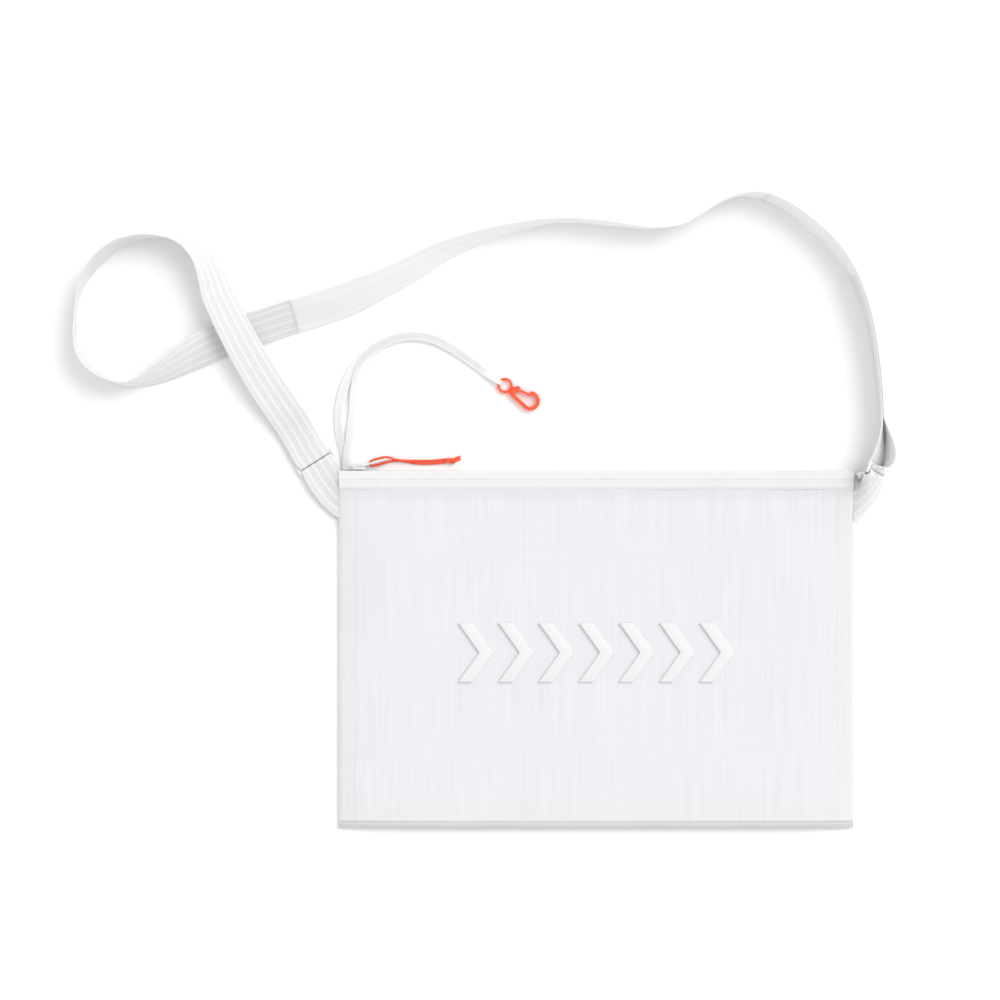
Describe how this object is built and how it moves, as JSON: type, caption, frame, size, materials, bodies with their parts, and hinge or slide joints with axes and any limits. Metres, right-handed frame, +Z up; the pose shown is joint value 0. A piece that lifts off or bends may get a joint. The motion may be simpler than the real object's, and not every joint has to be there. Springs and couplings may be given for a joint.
{
  "type": "cycling musette bag",
  "caption": "Flat zipped musette pouch with raised chevrons, a long ribbed webbing shoulder strap on rectangular rings, a key leash with a snap clip and a corded zip pull.",
  "frame": {"origin": "middle of the pouch, on the surface that the back panel lies on", "axes": "+X along the zip from the slider's end, +Y from the bottom of the pouch to the zip, +Z up out of the front panel"},
  "size_m": [0.5805, 0.4503, 0.0261],
  "materials": {
    "cloth": "thin translucent ripstop cloth",
    "cloth_edge": "doubled cloth at seams and hems",
    "zip_tape": "woven tape",
    "zip_teeth": "coated coil",
    "enamel": "glossy white enamel",
    "orange_cord": "braided cord",
    "ring_plastic": "smooth moulded plastic",
    "ribbed_elastic": "ribbed elastic webbing",
    "plain_webbing": "flat woven tape",
    "orange_plastic": "satin moulded plastic",
    "raised_print": "raised white print"
  },
  "bodies": {
    "bag": {"back_panel": "cloth", "front_panel": "cloth", "bottom_gusset": "cloth_edge", "side_seam_left": "cloth_edge", "side_seam_right": "cloth_edge", "bottom_seam": "cloth_edge", "top_hem": "cloth_edge", "zip_tape_back": "zip_tape", "zip_tape_front": "zip_tape", "zip_chain": "zip_teeth", "zip_slider": "enamel", "zip_puller": "enamel", "pull_cord_upper": "orange_cord", "pull_cord_lower": "orange_cord", "pull_knot": "orange_cord", "ring_left": "ring_plastic", "ring_right": "ring_plastic", "strap_left": "ribbed_elastic", "strap_middle": "plain_webbing", "strap_right": "ribbed_elastic", "anchor_left": "ribbed_elastic", "anchor_right": "ribbed_elastic", "clip_body": "orange_plastic", "key_leash": "plain_webbing", "chevron_1": "raised_print", "chevron_2": "raised_print", "chevron_3": "raised_print", "chevron_4": "raised_print", "chevron_5": "raised_print", "chevron_6": "raised_print", "chevron_7": "raised_print"},
    "gate": {"clip_gate": "orange_plastic"}
  },
  "joints": [
    {"name": "gate_hinge", "type": "hinge", "parent": "bag", "child": "gate", "pos_m": [-0.0558, 0.18471, 0.0025], "axis": [0, 0, -1], "range_deg": [0, 25], "stiffness_Nm_per_rad": 0.02, "springref_deg": -11.46}
  ]
}
